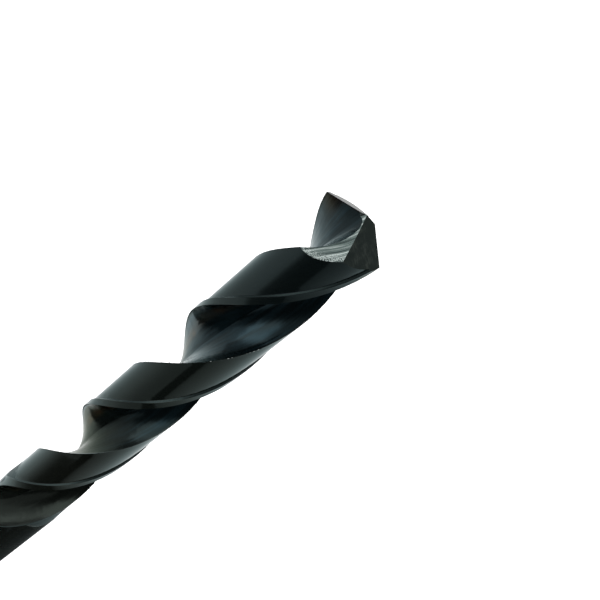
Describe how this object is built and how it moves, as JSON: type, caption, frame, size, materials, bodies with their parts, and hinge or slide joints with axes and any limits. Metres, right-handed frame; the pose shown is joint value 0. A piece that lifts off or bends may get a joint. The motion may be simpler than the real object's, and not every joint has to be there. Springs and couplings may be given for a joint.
{
  "type": "twist drill bit",
  "caption": "Right-hand twist drill bit with helical flutes, narrow margins, a cone-ground split point and a plain round shank, for boring holes in metal, wood or plastic.",
  "frame": {"origin": "centre of the shank's flat end face", "axes": "+Z along the drill's axis towards the cutting point; +X at the plane of the outer corners goes through the outer corner of one cutting lip"},
  "size_m": [0.01, 0.01, 0.133],
  "materials": {
    "black_steel": "black oxide, semi-gloss"
  },
  "bodies": {
    "root": {"twist_drill": "black_steel"}
  },
  "joints": []
}
